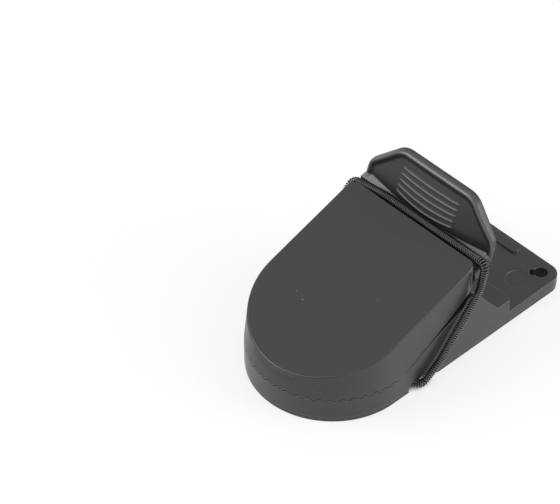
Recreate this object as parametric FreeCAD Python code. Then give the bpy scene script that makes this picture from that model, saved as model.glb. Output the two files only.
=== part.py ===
import FreeCAD, Part
import math
import os

from FreeCAD import Vector

# Snap mouse trap: a base with a lower jaw, a hinged cover with the upper jaw and a
# thumb tab, a rocking trigger, and one long coil spring looped round base and cover.
# Millimetres. +X is the side of the nail hole, -Y the rounded jaw, +Z up.
# The origin is under the middle of the trap, on the surface that it stands on.

# Plate and walls of the base
LENGTH = 91.2
HALF_WIDTH = 24.0
PLATE_TOP = 4.3
DECK = 1.2
SKIRT = 1.6
REAR_CORNER = 4.3
PARTING_Z = 1.4
PARTING_STEP = 0.15
BASE_WALL = 1.7
RIM_Z = 8.1
SIDE_WALL_START = 4.6
SIDE_WALL_KNEE = (-7.2, 13.7)
EAR_FRONT_Y = 4.4
EAR_FRONT_Z = 18.3
EAR_TIP_Y = 8.2
EAR_TIP_Z = 22.5
EAR_RADIUS = 2.6
EAR_FOOT_Y = 18.85

# Platform blocks behind the jaw, and the channel between them
PLATFORM_TOP = 8.8
PLATFORM_FRONT_Y = 8.0
PLATFORM_REAR_Y = 24.3
PLATFORM_SKIN = 1.4
PLATFORM_CORNER = 1.2
CHANNEL_HALF = 6.2
CHANNEL_CORNER = 0.6
BEAD_RADIUS = 0.35
PIVOT_WINDOW = 3.6
PIVOT_WINDOW_DEPTH = 3.4
PIVOT_THROAT = 1.4
PIVOT_LAND = 2.4

# Small features of the plate
EJECTOR_RADIUS = 3.4
EJECTOR_DEPTH = 0.15
EJECTOR_FROM_SIDE = 7.5
EJECTOR_FROM_REAR = 11.0
BLOCK_EJECTOR_Y = 13.0
NAIL_FROM_SIDE = 4.7
NAIL_FROM_REAR = 4.3
NAIL_HOLE_RADIUS = 2.0
NAIL_SLOT_HALF = 1.1
NAIL_SLOT_REACH = 3.2
NAIL_BOSS_WALL = 1.3
BAR_HALF = 9.2
BAR_WIDTH = 3.2
BAR_CORNER = 1.4
BAR_FROM_REAR = 2.7
BAR_HEIGHT = 0.6
RIB_THICKNESS = 1.0
RIB_X = 11.0
RIB_CLEARANCE = 0.3

# Teeth round the mouth
TOOTH_COUNT = 24
TOOTH_HEIGHT = 1.1
TOOTH_GAP = 0.3
TOOTH_SPREAD = 1.3

# Cover
COVER_DRAFT = 0.2
COVER_DRAFT_HEIGHT = 30.0
COVER_WALL = 1.7
ROOF = 1.6
ROOF_Z = 28.4
ROOF_SLOPE = 0.325
ROOF_EDGE = 0.3
COVER_REAR_Y = 9.7
COVER_REAR_CORNER = 3.0
SIDE_EDGE_FRONT = (-9.0, 13.2)
SIDE_EDGE_MIDDLE = (-3.0, 16.6)
SIDE_EDGE_REAR = (5.4, 22.0)
SIDE_EDGE_TOP = (7.9, 24.6)
SIDE_EDGE_RADIUS = 2.5
REAR_WALL = 1.5
REAR_WALL_LEAN = 0.203
REAR_WALL_FOOT_Y = 8.22
ARCH_HALF = 5.7
ARCH_TOP_Z = 18.7
FLUTE_TOP_Z = 22.9
FLUTE_DEPTH = 1.0
FLUTE_FOOT = 0.2
FLUTES = ((7.8, 11.9), (14.4, 20.0))
CHEEK_THICKNESS = 1.6
CHEEK_FRONT_Y = -2.0
CHEEK_LOW_Z = 19.0
CHEEK_TOP_Z = 24.0
SIDE_GAP = 0.6

# Hinge of the cover
HINGE_Y = 7.6
HINGE_Z = 10.3
HINGE_BEAD = 1.25
HINGE_PIN_RADIUS = 1.1
HINGE_CLEARANCE = 0.07
HINGE_PIN_REACH = 0.95
PIN_END_GAP = 0.1

# Thumb tab
TAB_ROOT = (10.8, 23.0)
TAB_FLARE = (15.4, 29.9)
TAB_TOP_Z = 43.9
TAB_TOP_BACK_Y = 21.0
TAB_THICKNESS = 3.1
TAB_BACK_RADIUS = 0.7
TAB_FRONT_RADIUS = 0.9
TAB_FRONT_FOOT = (13.6, 30.9)
LEDGE_FRONT = (12.8, 30.5)
TAB_OVERHANG = 0.7
TAB_FOOT_Z = 22.0
TAB_NECK = (22.9, 24.9)
TAB_WIDE_Z = (29.9, 32.4)
TAB_SHOULDER = (18.9, 39.6)
TAB_CROWN_X = 12.0
DISH_DEPTH = 0.6
DISH_LIP = 0.55
GRIP_COUNT = 5
GRIP_HEIGHT = 0.45
GRIP_WIDTH = 0.9
GRIP_CREST = 0.3
GRIP_HALF = 10.4
GRIP_SAGS = (1.4, 0.4)
GRIP_LOW = 2.5
GRIP_PITCH = 1.76
RELIEF_FRONT = (11.5, 11.9)
RELIEF_REAR = (20.0, 13.8)
RELIEF_FLOOR_Z = 29.4

# Trigger
PIVOT_Y = 20.0
PIVOT_Z = 6.5
PIVOT_PIN_RADIUS = 0.9
PIVOT_CLEARANCE = 0.06
TRIGGER_TILT = 8.0
TRIGGER_GAP = 0.5
TRIGGER_SLOT_HALF = 1.13
SHOULDER_Y = 12.5
NECK_GAP = 0.6
CROSS_MEMBER_Y = 11.0
ARM_UNDER = 4.7
ARM_DEPTH = 2.5
PRONG_REAR_Y = 31.8
PRONG_DEPTH = 1.6
ARM_STEP = (9.0, 5.0)
STEM_WAIST = (6.0, 0.0)
PRONG_TOP_Z = 11.3
PRONG_LIP = 0.5
PRONG_LIP_DROP = 0.8
PRONG_NECK_DROP = 1.4
ARM_RISE = 0.4
RIDGE_WIDTH = 0.8
RIDGE_HEIGHT = 0.35
RIDGE_START = 3.0
PEDAL_FROM_JAW = 1.6
PEDAL_RADIUS = 9.5
PEDAL_THICKNESS = 1.2
PEDAL_ARM_HALF = 3.6
BAIT_CUP_RADIUS = 4.6
BAIT_CUP_WALL = 0.9
BAIT_CUP_TOP = 10.2

# Spring
SPRING_DIAMETER = 2.45
WIRE_DIAMETER = 0.6
WIRE_SIDES = 6
SPRING_TURNS = 23
HALF_TURN_STEPS = 16
SPRING_Y = -12.5
SPRING_CLEARANCE = 0.23
SPRING_SIDE_GAP = 0.375
SPRING_GROOVE = (11.25, 31.4)
SPRING_SIDE = ((9.3, 23.2), (2.0, 15.0), (-5.2, 6.8))
SPRING_TAUT_TOP = (11.15, 29.4)
SPRING_TAUT_LEAN = 0.2
SPRING_DIP_X = 13.0
SPRING_DIP_BEND = 14.0
SPRING_CORNER = 2.5
SPRING_LOW_CORNER = 2.0
SPRING_BEND = 7.0
SPRING_END_X = 1.2
SEAT_RAMP = (12.0, 27.8)
NECK_HALF_WIDTH = 23.1
NECK_LOW_Z = 23.0
RECESS_FRONT_Y = -15.6
RECESS_REAR_Y = -3.5
RECESS_HEIGHT = 2.95

# Places that follow from the sizes above
JAW_Y = HALF_WIDTH - LENGTH / 2
REAR_Y = LENGTH / 2
CEILING = PLATE_TOP - DECK
INNER_HALF = HALF_WIDTH - BASE_WALL
CHEEK_OUTER = INNER_HALF - SIDE_GAP
MOUTH_LOW = RIM_Z - TOOTH_HEIGHT / 2
MOUTH_HIGH = RIM_Z + TOOTH_HEIGHT / 2
TOOTH_STEP = math.pi / TOOTH_COUNT
TEETH_END_Y = JAW_Y + HALF_WIDTH * math.sin(TOOTH_STEP)
SIDE_WALL_START_Y = JAW_Y + SIDE_WALL_START
EJECTOR_X = HALF_WIDTH - EJECTOR_FROM_SIDE
NAIL_X = HALF_WIDTH - NAIL_FROM_SIDE
NAIL_Y = REAR_Y - NAIL_FROM_REAR
BAR_Y = REAR_Y - BAR_FROM_REAR
PEDAL_Y = JAW_Y + PEDAL_FROM_JAW
WINDOW_LOW_X = CHANNEL_HALF + 2 * BEAD_RADIUS
WINDOW_HIGH_X = WINDOW_LOW_X + PIVOT_WINDOW
HOLLOW_X = WINDOW_HIGH_X + PIVOT_LAND
TRIGGER_HALF = CHANNEL_HALF - TRIGGER_GAP
PRONG_FRONT_Y = PRONG_REAR_Y - PRONG_DEPTH
TAB_FRONT_TOP_Y = TAB_TOP_BACK_Y - TAB_THICKNESS
TAB_HALF = HALF_WIDTH + TAB_OVERHANG
SPRING_RADIUS = SPRING_DIAMETER / 2
SPRING_LOW_Z = SPRING_CLEARANCE + SPRING_RADIUS
SPRING_SIDE_X = HALF_WIDTH + SPRING_SIDE_GAP + SPRING_RADIUS
SEAT_Z = SPRING_GROOVE[1] - SPRING_RADIUS - SPRING_CLEARANCE
SEAT_REAR_Y = SPRING_GROOVE[0] + SPRING_RADIUS + SPRING_CLEARANCE
FRONT_OF_HINGE_Y = HINGE_Y - 2 * HINGE_BEAD
NECK_HALF = ARCH_HALF - NECK_GAP
FAR = 200.0


def in_plan(a, b):
    return Vector(a, b, 0)


def in_side(a, b):
    return Vector(0, a, b)


def in_front(a, b):
    return Vector(a, 0, b)


def outline(corners, place):
    """Closed wire through (a, b, radius) corners, each rounded by its radius."""
    edges = []
    starts = []
    ends = []
    count = len(corners)
    for index in range(count):
        before = Vector(*corners[index - 1][:2], 0)
        here = Vector(*corners[index][:2], 0)
        after = Vector(*corners[(index + 1) % count][:2], 0)
        radius = corners[index][2]
        to_before = (before - here).normalize()
        to_after = (after - here).normalize()
        if radius == 0:
            starts.append(here)
            ends.append(here)
            continue
        half = to_before.getAngle(to_after) / 2
        reach = radius / math.tan(half)
        start = here + to_before * reach
        end = here + to_after * reach
        centre = here + (to_before + to_after).normalize() * (radius / math.sin(half))
        middle = centre + (here - centre).normalize() * radius
        starts.append(start)
        ends.append(end)
        arc = Part.Arc(*(place(p.x, p.y) for p in (start, middle, end)))
        edges.append((index, arc.toShape()))
    ordered = []
    arcs = dict(edges)
    for index in range(count):
        if index in arcs:
            ordered.append(arcs[index])
        start = place(ends[index].x, ends[index].y)
        following = starts[(index + 1) % count]
        end = place(following.x, following.y)
        if start.distanceToPoint(end) > 1e-6:
            ordered.append(Part.LineSegment(start, end).toShape())
    return Part.Wire(ordered)


def slab(corners, place, start, depth):
    """Solid of one outline, from its plane's offset start through depth."""
    face = Part.Face(outline(corners, place))
    face.translate(start)
    return face.extrude(depth)


def side_slab(corners, low_x, high_x):
    """Solid with a side-view outline between two X positions."""
    return slab(corners, in_side, Vector(low_x, 0, 0), Vector(high_x - low_x, 0, 0))


def block(low, high):
    """Box between two opposite corners."""
    size = Vector(*high) - Vector(*low)
    return Part.makeBox(size.x, size.y, size.z, Vector(*low))


def rod_x(radius, low_x, high_x, y, z):
    """Round bar along X."""
    return Part.makeCylinder(radius, high_x - low_x, Vector(low_x, y, z), Vector(1, 0, 0))


def both_sides(shape):
    """The shape and its mirror image across the middle plane."""
    return [shape, shape.mirror(Vector(0, 0, 0), Vector(1, 0, 0))]


def plan_wire(inset, rear_y, rear_radius, z):
    """The trap's outline from above: half a circle in front, two rounded corners behind."""
    half = HALF_WIDTH - inset
    rear = rear_y - inset
    radius = max(rear_radius - inset, 0.5)
    front = Part.Arc(Vector(-half, JAW_Y, z), Vector(0, JAW_Y - half, z), Vector(half, JAW_Y, z))
    corner = radius * (1 - math.sqrt(0.5))
    right_corner = Part.Arc(
        Vector(half, rear - radius, z),
        Vector(half - corner, rear - corner, z),
        Vector(half - radius, rear, z),
    )
    left_corner = Part.Arc(
        Vector(-half + radius, rear, z),
        Vector(-half + corner, rear - corner, z),
        Vector(-half, rear - radius, z),
    )
    right = Part.LineSegment(Vector(half, JAW_Y, z), Vector(half, rear - radius, z))
    back = Part.LineSegment(Vector(half - radius, rear, z), Vector(-half + radius, rear, z))
    left = Part.LineSegment(Vector(-half, rear - radius, z), Vector(-half, JAW_Y, z))
    curves = (front, right, right_corner, back, left_corner, left)
    return Part.Wire([curve.toShape() for curve in curves])


def plan_solid(inset, rear_y, rear_radius, low, high):
    """Upright solid with the plan outline."""
    face = Part.Face(plan_wire(inset, rear_y, rear_radius, low))
    return face.extrude(Vector(0, 0, high - low))


def tooth_cutters(edge_z, direction, places):
    """V notches round the mouth: direction +1 opens upwards from edge_z, -1 downwards."""
    half_pitch = HALF_WIDTH * TOOTH_STEP / 2
    over = TOOTH_HEIGHT * (TOOTH_SPREAD - 1)
    cutters = []
    for place in places:
        angle = math.pi + place * TOOTH_STEP
        outward = Vector(math.cos(angle), math.sin(angle), 0)
        along = Vector(-math.sin(angle), math.cos(angle), 0)
        centre = Vector(0, JAW_Y, edge_z) + outward * (HALF_WIDTH - 3 * BASE_WALL)
        wide = half_pitch * TOOTH_SPREAD
        points = [
            centre + along * wide + Vector(0, 0, direction * over),
            centre - along * wide + Vector(0, 0, direction * over),
            centre - Vector(0, 0, direction * TOOTH_HEIGHT),
        ]
        triangle = Part.Face(Part.makePolygon(points + points[:1]))
        cutters.append(triangle.extrude(outward * (5 * BASE_WALL)))
    return cutters


def jaw_wall():
    """Lower jaw and the two ears, cut to their side view, with teeth on the front rim."""
    outer = plan_solid(0, REAR_Y, REAR_CORNER, 0, EAR_TIP_Z)
    inner = plan_solid(BASE_WALL, REAR_Y, REAR_CORNER, 0, EAR_TIP_Z)
    side = side_slab(
        [
            (-FAR, 0, 0),
            (-FAR, MOUTH_HIGH - TOOTH_GAP / 2, 0),
            (SIDE_WALL_START_Y, MOUTH_HIGH - TOOTH_GAP / 2, 3.0),
            (*SIDE_WALL_KNEE, 12.0),
            (EAR_FRONT_Y, EAR_FRONT_Z, 1.5),
            (EAR_TIP_Y, EAR_TIP_Z, EAR_RADIUS),
            (EAR_FOOT_Y, PLATFORM_TOP, 0),
            (EAR_FOOT_Y, 0, 0),
        ],
        -FAR,
        FAR,
    )
    ring = outer.cut(inner).common(side)
    valleys = [index + 0.5 for index in range(-1, TOOTH_COUNT + 1)]
    return ring.cut(tooth_cutters(MOUTH_HIGH - TOOTH_GAP / 2, 1, valleys))


def platform():
    """Block behind the jaw on the +X side, with the window and the bore for the pivot pin."""
    body = slab(
        [
            (CHANNEL_HALF, PLATFORM_FRONT_Y, 0),
            (CHANNEL_HALF, PLATFORM_REAR_Y, CHANNEL_CORNER),
            (HALF_WIDTH, PLATFORM_REAR_Y, PLATFORM_CORNER),
            (HALF_WIDTH, PLATFORM_FRONT_Y, 0),
        ],
        in_plan,
        Vector(0, 0, 0),
        Vector(0, 0, PLATFORM_TOP),
    )
    bead_start_y = HINGE_Y + HINGE_BEAD + SIDE_GAP
    bead = Part.makeCylinder(
        BEAD_RADIUS,
        PLATFORM_REAR_Y - BEAD_RADIUS - bead_start_y,
        Vector(CHANNEL_HALF + BEAD_RADIUS, bead_start_y, PLATFORM_TOP),
        Vector(0, 1, 0),
    )
    window = block(
        (WINDOW_LOW_X, PIVOT_Y - PIVOT_WINDOW / 2, PLATFORM_TOP - PIVOT_WINDOW_DEPTH),
        (WINDOW_HIGH_X, PIVOT_Y + PIVOT_WINDOW / 2, FAR),
    )
    throat = block(
        (0, PIVOT_Y - PIVOT_THROAT / 2, PIVOT_Z),
        (WINDOW_HIGH_X, PIVOT_Y + PIVOT_THROAT / 2, FAR),
    )
    bore = rod_x(
        PIVOT_PIN_RADIUS + PIVOT_CLEARANCE,
        0,
        WINDOW_HIGH_X + PIVOT_LAND / 2,
        PIVOT_Y,
        PIVOT_Z,
    )
    mark = ejector_mark(EJECTOR_X, BLOCK_EJECTOR_Y, PLATFORM_TOP)
    return body.fuse(bead).cut([window, throat, bore, mark])


def platform_hollow():
    """Room inside the +X block, open to the underside, beside the land of the pivot pin."""
    return block(
        (HOLLOW_X, PLATFORM_FRONT_Y + PLATFORM_SKIN, -1),
        (INNER_HALF, PLATFORM_REAR_Y - PLATFORM_SKIN, PLATFORM_TOP - PLATFORM_SKIN),
    )


def ejector_mark(x, y, top):
    """Shallow round print that an ejector pin leaves in the moulding."""
    return Part.makeCylinder(EJECTOR_RADIUS, 1, Vector(x, y, top - EJECTOR_DEPTH))


def nail_opening():
    """Keyhole through the plate: a round hole with a slot that points inwards."""
    hole = Part.makeCylinder(NAIL_HOLE_RADIUS, PLATE_TOP + 2, Vector(NAIL_X, NAIL_Y, -1))
    slot = block(
        (-NAIL_SLOT_REACH, -NAIL_SLOT_HALF, -1),
        (0, NAIL_SLOT_HALF, PLATE_TOP + 1),
    )
    slot.rotate(Vector(0, 0, 0), Vector(0, 0, 1), 45)
    slot.translate(Vector(NAIL_X, NAIL_Y, 0))
    return hole.fuse(slot)


def underside():
    """Hollow below the deck, with ribs left standing and a channel for the spring."""
    hollow = plan_solid(SKIRT, REAR_Y, REAR_CORNER, 0, CEILING)
    boss = Part.makeCylinder(
        NAIL_HOLE_RADIUS + NAIL_BOSS_WALL,
        CEILING,
        Vector(NAIL_X, NAIL_Y, 0),
    )
    ribs = [boss]
    half_rib = RIB_THICKNESS / 2
    half_room = SPRING_RADIUS + RIB_CLEARANCE
    for x in (-RIB_X, RIB_X):
        ribs.append(block((x - half_rib, -FAR, RIB_CLEARANCE), (x + half_rib, FAR, CEILING)))
    for y in (SPRING_Y - half_room - half_rib, SPRING_Y + half_room + half_rib):
        ribs.append(block((-FAR, y - half_rib, RIB_CLEARANCE), (FAR, y + half_rib, CEILING)))
    groove = block(
        (-FAR, SPRING_Y - half_room, -1),
        (FAR, SPRING_Y + half_room, CEILING),
    )
    land = block(
        (-FAR, PIVOT_Y - PIVOT_WINDOW, 0),
        (FAR, PIVOT_Y + PIVOT_WINDOW, CEILING),
    )
    land = land.common(block((-RIB_X, -FAR, 0), (RIB_X, FAR, CEILING)))
    hollow = hollow.cut(ribs + [land])
    return [hollow, groove.common(plan_solid(SKIRT, REAR_Y, REAR_CORNER, -1, CEILING))]


def parting_step():
    """Thin ring off the plate's foot, where the two halves of its mould meet."""
    outside = plan_solid(-PARTING_STEP, REAR_Y, REAR_CORNER, -1, PARTING_Z)
    return outside.cut(plan_solid(PARTING_STEP, REAR_Y, REAR_CORNER, -1, PARTING_Z))


def base():
    """Plate, lower jaw with its ears, and the two blocks, hollowed from below."""
    plate = plan_solid(0, REAR_Y, REAR_CORNER, 0, PLATE_TOP)
    bar = slab(
        [
            (-BAR_HALF, BAR_Y - BAR_WIDTH / 2, BAR_CORNER),
            (BAR_HALF, BAR_Y - BAR_WIDTH / 2, BAR_CORNER),
            (BAR_HALF, BAR_Y + BAR_WIDTH / 2, BAR_CORNER),
            (-BAR_HALF, BAR_Y + BAR_WIDTH / 2, BAR_CORNER),
        ],
        in_plan,
        Vector(0, 0, PLATE_TOP),
        Vector(0, 0, BAR_HEIGHT),
    )
    body = plate.cut(underside())
    body = body.fuse([bar, jaw_wall()] + both_sides(platform()))
    recess = side_slab(
        [
            (RECESS_FRONT_Y, -1, 0),
            (RECESS_FRONT_Y, RECESS_HEIGHT, 0.6),
            (RECESS_REAR_Y - RECESS_HEIGHT, RECESS_HEIGHT, 2.0),
            (RECESS_REAR_Y, -1, 0),
        ],
        INNER_HALF,
        FAR,
    )
    cuts = both_sides(recess) + both_sides(platform_hollow()) + [nail_opening(), parting_step()]
    cuts += both_sides(ejector_mark(EJECTOR_X, REAR_Y - EJECTOR_FROM_REAR, PLATE_TOP))
    cuts += both_sides(
        rod_x(
            HINGE_PIN_RADIUS + HINGE_CLEARANCE,
            CHEEK_OUTER,
            CHEEK_OUTER + SIDE_GAP + HINGE_PIN_REACH + PIN_END_GAP,
            HINGE_Y,
            HINGE_Z,
        )
    )
    return body.cut(cuts).removeSplitter()


def roof_z(y):
    """Height of the roof's outside at a distance along the trap."""
    return ROOF_Z + ROOF_SLOPE * y


def above_roof(drop):
    """Everything over the sloping roof plane, which lies drop below the outside."""
    fall = drop * math.sqrt(1 + ROOF_SLOPE**2)
    return side_slab(
        [
            (-FAR, roof_z(-FAR) - fall, 0),
            (FAR, roof_z(FAR) - fall, 0),
            (FAR, FAR, 0),
            (-FAR, FAR, 0),
        ],
        -FAR,
        FAR,
    )


def drafted(inset, low):
    """Upright body with the plan outline that draws in a little towards the top."""
    top = low + COVER_DRAFT_HEIGHT
    wires = [
        plan_wire(inset, COVER_REAR_Y, COVER_REAR_CORNER, low),
        plan_wire(inset + COVER_DRAFT, COVER_REAR_Y + COVER_DRAFT, COVER_REAR_CORNER, top),
    ]
    return Part.makeLoft(wires, True, True)


def upper_jaw():
    """The cover's shell: drafted walls under a sloping roof, with an eased roof edge."""
    low = MOUTH_LOW + TOOTH_GAP / 2
    outer = drafted(0, low).cut(above_roof(0))
    roof_edges = []
    for edge in outer.Edges:
        ends = [vertex.Point for vertex in edge.Vertexes]
        on_roof = all(abs(end.z - roof_z(end.y)) < 0.01 for end in ends)
        if on_roof:
            roof_edges.append(edge)
    outer = outer.makeChamfer(ROOF_EDGE, roof_edges)
    inner = drafted(COVER_WALL, low - TOOTH_HEIGHT).cut(above_roof(ROOF))
    open_back = block((-CHEEK_OUTER, FRONT_OF_HINGE_Y, 0), (CHEEK_OUTER, FAR, TAB_ROOT[1]))
    shell = outer.cut([inner, open_back])
    return shell.cut(tooth_cutters(low, -1, range(-1, TOOTH_COUNT + 2)))


def below_side_edge():
    """Room under the cover's side walls, where the ears of the base stand."""
    low = MOUTH_LOW - TOOTH_HEIGHT
    rim = MOUTH_HIGH + TOOTH_GAP / 2
    top_y, top_z = SIDE_EDGE_TOP
    crown = (
        top_y - SIDE_EDGE_RADIUS * (1 - math.sqrt(0.5)),
        top_z - SIDE_EDGE_RADIUS * math.sqrt(0.5),
    )
    edge = [in_side(*p) for p in (SIDE_EDGE_FRONT, SIDE_EDGE_MIDDLE, SIDE_EDGE_REAR)]
    top = in_side(top_y, top_z)
    sweep = Part.Arc(*edge)
    turn = Part.Arc(edge[2], in_side(*crown), top)
    rest = [
        top,
        in_side(FAR, top_z),
        in_side(FAR, low),
        in_side(TEETH_END_Y, low),
        in_side(TEETH_END_Y, rim),
        in_side(SIDE_WALL_START_Y, rim),
        edge[0],
    ]
    wire = Part.Wire([sweep.toShape(), turn.toShape()] + Part.makePolygon(rest).Edges)
    face = Part.Face(wire)
    face.translate(Vector(CHEEK_OUTER, 0, 0))
    return face.extrude(Vector(FAR, 0, 0))


def rear_line(z):
    """Y of the rear wall's outside at a height."""
    return REAR_WALL_FOOT_Y + REAR_WALL_LEAN * (z - HINGE_Z)


def rear_wall():
    """Rear wall, neck and thumb tab in one side view, trimmed to their front view."""
    front_foot_y = rear_line(HINGE_Z) - REAR_WALL
    root_front_y = rear_line(TAB_ROOT[1]) - REAR_WALL
    side = side_slab(
        [
            (front_foot_y, HINGE_Z, 0),
            (REAR_WALL_FOOT_Y, HINGE_Z, 0),
            (*TAB_ROOT, 0.8),
            (*TAB_FLARE, 3.0),
            (TAB_TOP_BACK_Y, TAB_TOP_Z, TAB_BACK_RADIUS),
            (TAB_FRONT_TOP_Y, TAB_TOP_Z, TAB_FRONT_RADIUS),
            (*TAB_FRONT_FOOT, 0.3),
            (*LEDGE_FRONT, 0),
            (SEAT_REAR_Y, SEAT_Z, 0),
            (COVER_REAR_Y, SEAT_Z, 0),
            (root_front_y - REAR_WALL, SEAT_Z, 0),
            (root_front_y, TAB_ROOT[1], 0),
        ],
        -TAB_HALF,
        TAB_HALF,
    )
    beside_shell = block((INNER_HALF, FRONT_OF_HINGE_Y, TAB_FOOT_Z), (FAR, COVER_REAR_Y, FAR))
    return side.common(front_trim(0)).cut(both_sides(seat_ramp()) + both_sides(beside_shell))


def seat_ramp():
    """Room at the +X end of the spring's seat, which falls away towards the side."""
    ramp_x, ramp_z = SEAT_RAMP
    return slab(
        [
            (ramp_x, SEAT_Z, 0),
            (NECK_HALF_WIDTH, ramp_z, 0),
            (NECK_HALF_WIDTH, NECK_LOW_Z, 0),
            (FAR, NECK_LOW_Z, 0),
            (FAR, FAR, 0),
            (ramp_x, FAR, 0),
        ],
        in_front,
        Vector(0, COVER_REAR_Y, 0),
        Vector(0, SEAT_REAR_Y - COVER_REAR_Y, 0),
    )


def tab_front_corners(inset):
    """Front view of wall and tab, as rounded corners from the +X foot round to the -X foot."""
    half = TAB_HALF - inset
    low_z, high_z = TAB_WIDE_Z
    right = [
        (CHEEK_OUTER - inset, 0, 0),
        (CHEEK_OUTER - inset, TAB_FOOT_Z, 0),
        (TAB_NECK[0] - inset, TAB_NECK[1], 0),
        (half, low_z, 3.0),
        (half, high_z, 2.5),
        (TAB_SHOULDER[0] - inset, TAB_SHOULDER[1] - inset / 2, 9.0),
        (TAB_CROWN_X - inset / 2, TAB_TOP_Z - inset, 4.0),
    ]
    left = [(-x, z, radius) for x, z, radius in reversed(right)]
    return right + left


def front_trim(inset):
    """Everything within the front view of wall and tab."""
    return slab(
        tab_front_corners(inset),
        in_front,
        Vector(0, -FAR, 0),
        Vector(0, 2 * FAR, 0),
    )


def tab_front():
    """Foot of the tab's front face, and the directions up along it and back into it."""
    foot = in_side(*TAB_FRONT_FOOT)
    top = in_side(TAB_FRONT_TOP_Y, TAB_TOP_Z)
    up = (top - foot).normalize()
    return foot, up, Vector(0, up.z, -up.y)


def dish():
    """Hollow in the tab's front inside a thin lip, open at the foot along the ledge."""
    foot, up, back = tab_front()
    ledge = (foot - in_side(*LEDGE_FRONT)).normalize()
    corner = foot + ledge * (DISH_DEPTH / ledge.dot(back))
    front = foot - back * DISH_DEPTH
    corners = [front, foot, corner, corner + up * FAR, front + up * FAR]
    return side_slab([(p.y, p.z, 0) for p in corners], -FAR, FAR).common(front_trim(DISH_LIP))


def relief():
    """Pocket in the ledge between the spring's seat and the tab."""
    front_x, front_y = RELIEF_FRONT
    rear_x, rear_y = RELIEF_REAR
    return slab(
        [(-front_x, front_y, 0), (front_x, front_y, 0), (rear_x, rear_y, 0), (-rear_x, rear_y, 0)],
        in_plan,
        Vector(0, 0, RELIEF_FLOOR_Z),
        Vector(0, 0, TAB_FRONT_FOOT[1] - RELIEF_FLOOR_Z),
    )


def grips():
    """Curved ribs across the dish for the thumb."""
    foot, up, back = tab_front()
    low_sag, high_sag = GRIP_SAGS
    bars = []
    for index in range(GRIP_COUNT):
        middle = foot + back * DISH_DEPTH + up * (GRIP_LOW + index * GRIP_PITCH)
        sag = low_sag + (high_sag - low_sag) * index / (GRIP_COUNT - 1)
        left = middle + Vector(-GRIP_HALF, 0, 0)
        right = middle + Vector(GRIP_HALF, 0, 0)
        arc = Part.Arc(left, middle - up * sag, right).toShape()
        heading = arc.tangentAt(arc.FirstParameter).normalize()
        across = back.cross(heading)
        section = [
            left + across * (GRIP_WIDTH / 2) + back * GRIP_HEIGHT,
            left + across * (GRIP_WIDTH / 2),
            left + across * (GRIP_CREST / 2) - back * GRIP_HEIGHT,
            left - across * (GRIP_CREST / 2) - back * GRIP_HEIGHT,
            left - across * (GRIP_WIDTH / 2),
            left - across * (GRIP_WIDTH / 2) + back * GRIP_HEIGHT,
        ]
        ring = Part.makePolygon(section + section[:1])
        bars.append(Part.Wire(arc).makePipeShell([ring], True, False))
    return bars


def cheek():
    """Side plate on the +X side that carries the cover down to its hinge."""
    return side_slab(
        [
            (HINGE_Y - HINGE_BEAD, HINGE_Z, 0),
            (REAR_WALL_FOOT_Y, HINGE_Z, 0),
            (rear_line(CHEEK_TOP_Z), CHEEK_TOP_Z, 0),
            (CHEEK_FRONT_Y, CHEEK_TOP_Z, 0),
            (CHEEK_FRONT_Y, CHEEK_LOW_Z, 2.0),
        ],
        CHEEK_OUTER - CHEEK_THICKNESS,
        HALF_WIDTH - COVER_WALL / 2,
    )


def hinge_pin():
    """Stub pin of the cover's foot on the +X side."""
    return rod_x(
        HINGE_PIN_RADIUS,
        CHEEK_OUTER - CHEEK_THICKNESS,
        CHEEK_OUTER + SIDE_GAP + HINGE_PIN_REACH,
        HINGE_Y,
        HINGE_Z,
    )


def arch():
    """Opening in the rear wall for the trigger's arms."""
    return slab(
        [
            (-ARCH_HALF, 0, 0),
            (ARCH_HALF, 0, 0),
            (ARCH_HALF, ARCH_TOP_Z, 1.0),
            (-ARCH_HALF, ARCH_TOP_Z, 1.0),
        ],
        in_front,
        Vector(0, FRONT_OF_HINGE_Y, 0),
        Vector(0, COVER_REAR_Y, 0),
    )


def flute(low_x, high_x):
    """Upright pocket in the rear wall, deepest at its top, that runs out towards the foot."""
    corners = [
        (rear_line(HINGE_Z) + FLUTE_FOOT, HINGE_Z, 0),
        (rear_line(FLUTE_TOP_Z) - FLUTE_DEPTH, FLUTE_TOP_Z, 0),
        (FAR, FLUTE_TOP_Z, 0),
        (FAR, HINGE_Z, 0),
    ]
    return side_slab(corners, low_x, high_x)


def cover():
    """Upper jaw, rear wall with neck and tab, and the foot that turns in the base."""
    body = upper_jaw().fuse(both_sides(cheek())).cut(both_sides(below_side_edge()))
    foot = rod_x(HINGE_BEAD, -CHEEK_OUTER, CHEEK_OUTER, HINGE_Y, HINGE_Z)
    body = body.fuse([rear_wall(), foot])
    holes = [arch(), dish(), relief()]
    for low_x, high_x in FLUTES:
        holes += both_sides(flute(low_x, high_x))
    return body.cut(holes).fuse(both_sides(hinge_pin()) + grips()).removeSplitter()


def arm_top(y):
    """Height of the arms' top behind the pivot, where they rise towards the prongs."""
    front = ARM_UNDER + ARM_DEPTH
    slope = math.tan(math.radians(TRIGGER_TILT))
    return front + (y - PIVOT_Y) * slope + ARM_RISE * (y - PIVOT_Y) / (PRONG_FRONT_Y - PIVOT_Y)


def ridge():
    """Low rib along the +X arm beside the slot."""
    start_y = PIVOT_Y + RIDGE_START
    corners = [
        (start_y, arm_top(start_y) - RIDGE_WIDTH, 0),
        (start_y + RIDGE_HEIGHT, arm_top(start_y) + RIDGE_HEIGHT, 0),
        (PRONG_FRONT_Y, arm_top(PRONG_FRONT_Y) + RIDGE_HEIGHT, 0),
        (PRONG_FRONT_Y + RIDGE_HEIGHT, arm_top(PRONG_FRONT_Y) - RIDGE_WIDTH, 0),
    ]
    return side_slab(corners, TRIGGER_SLOT_HALF, TRIGGER_SLOT_HALF + RIDGE_WIDTH)


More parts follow.
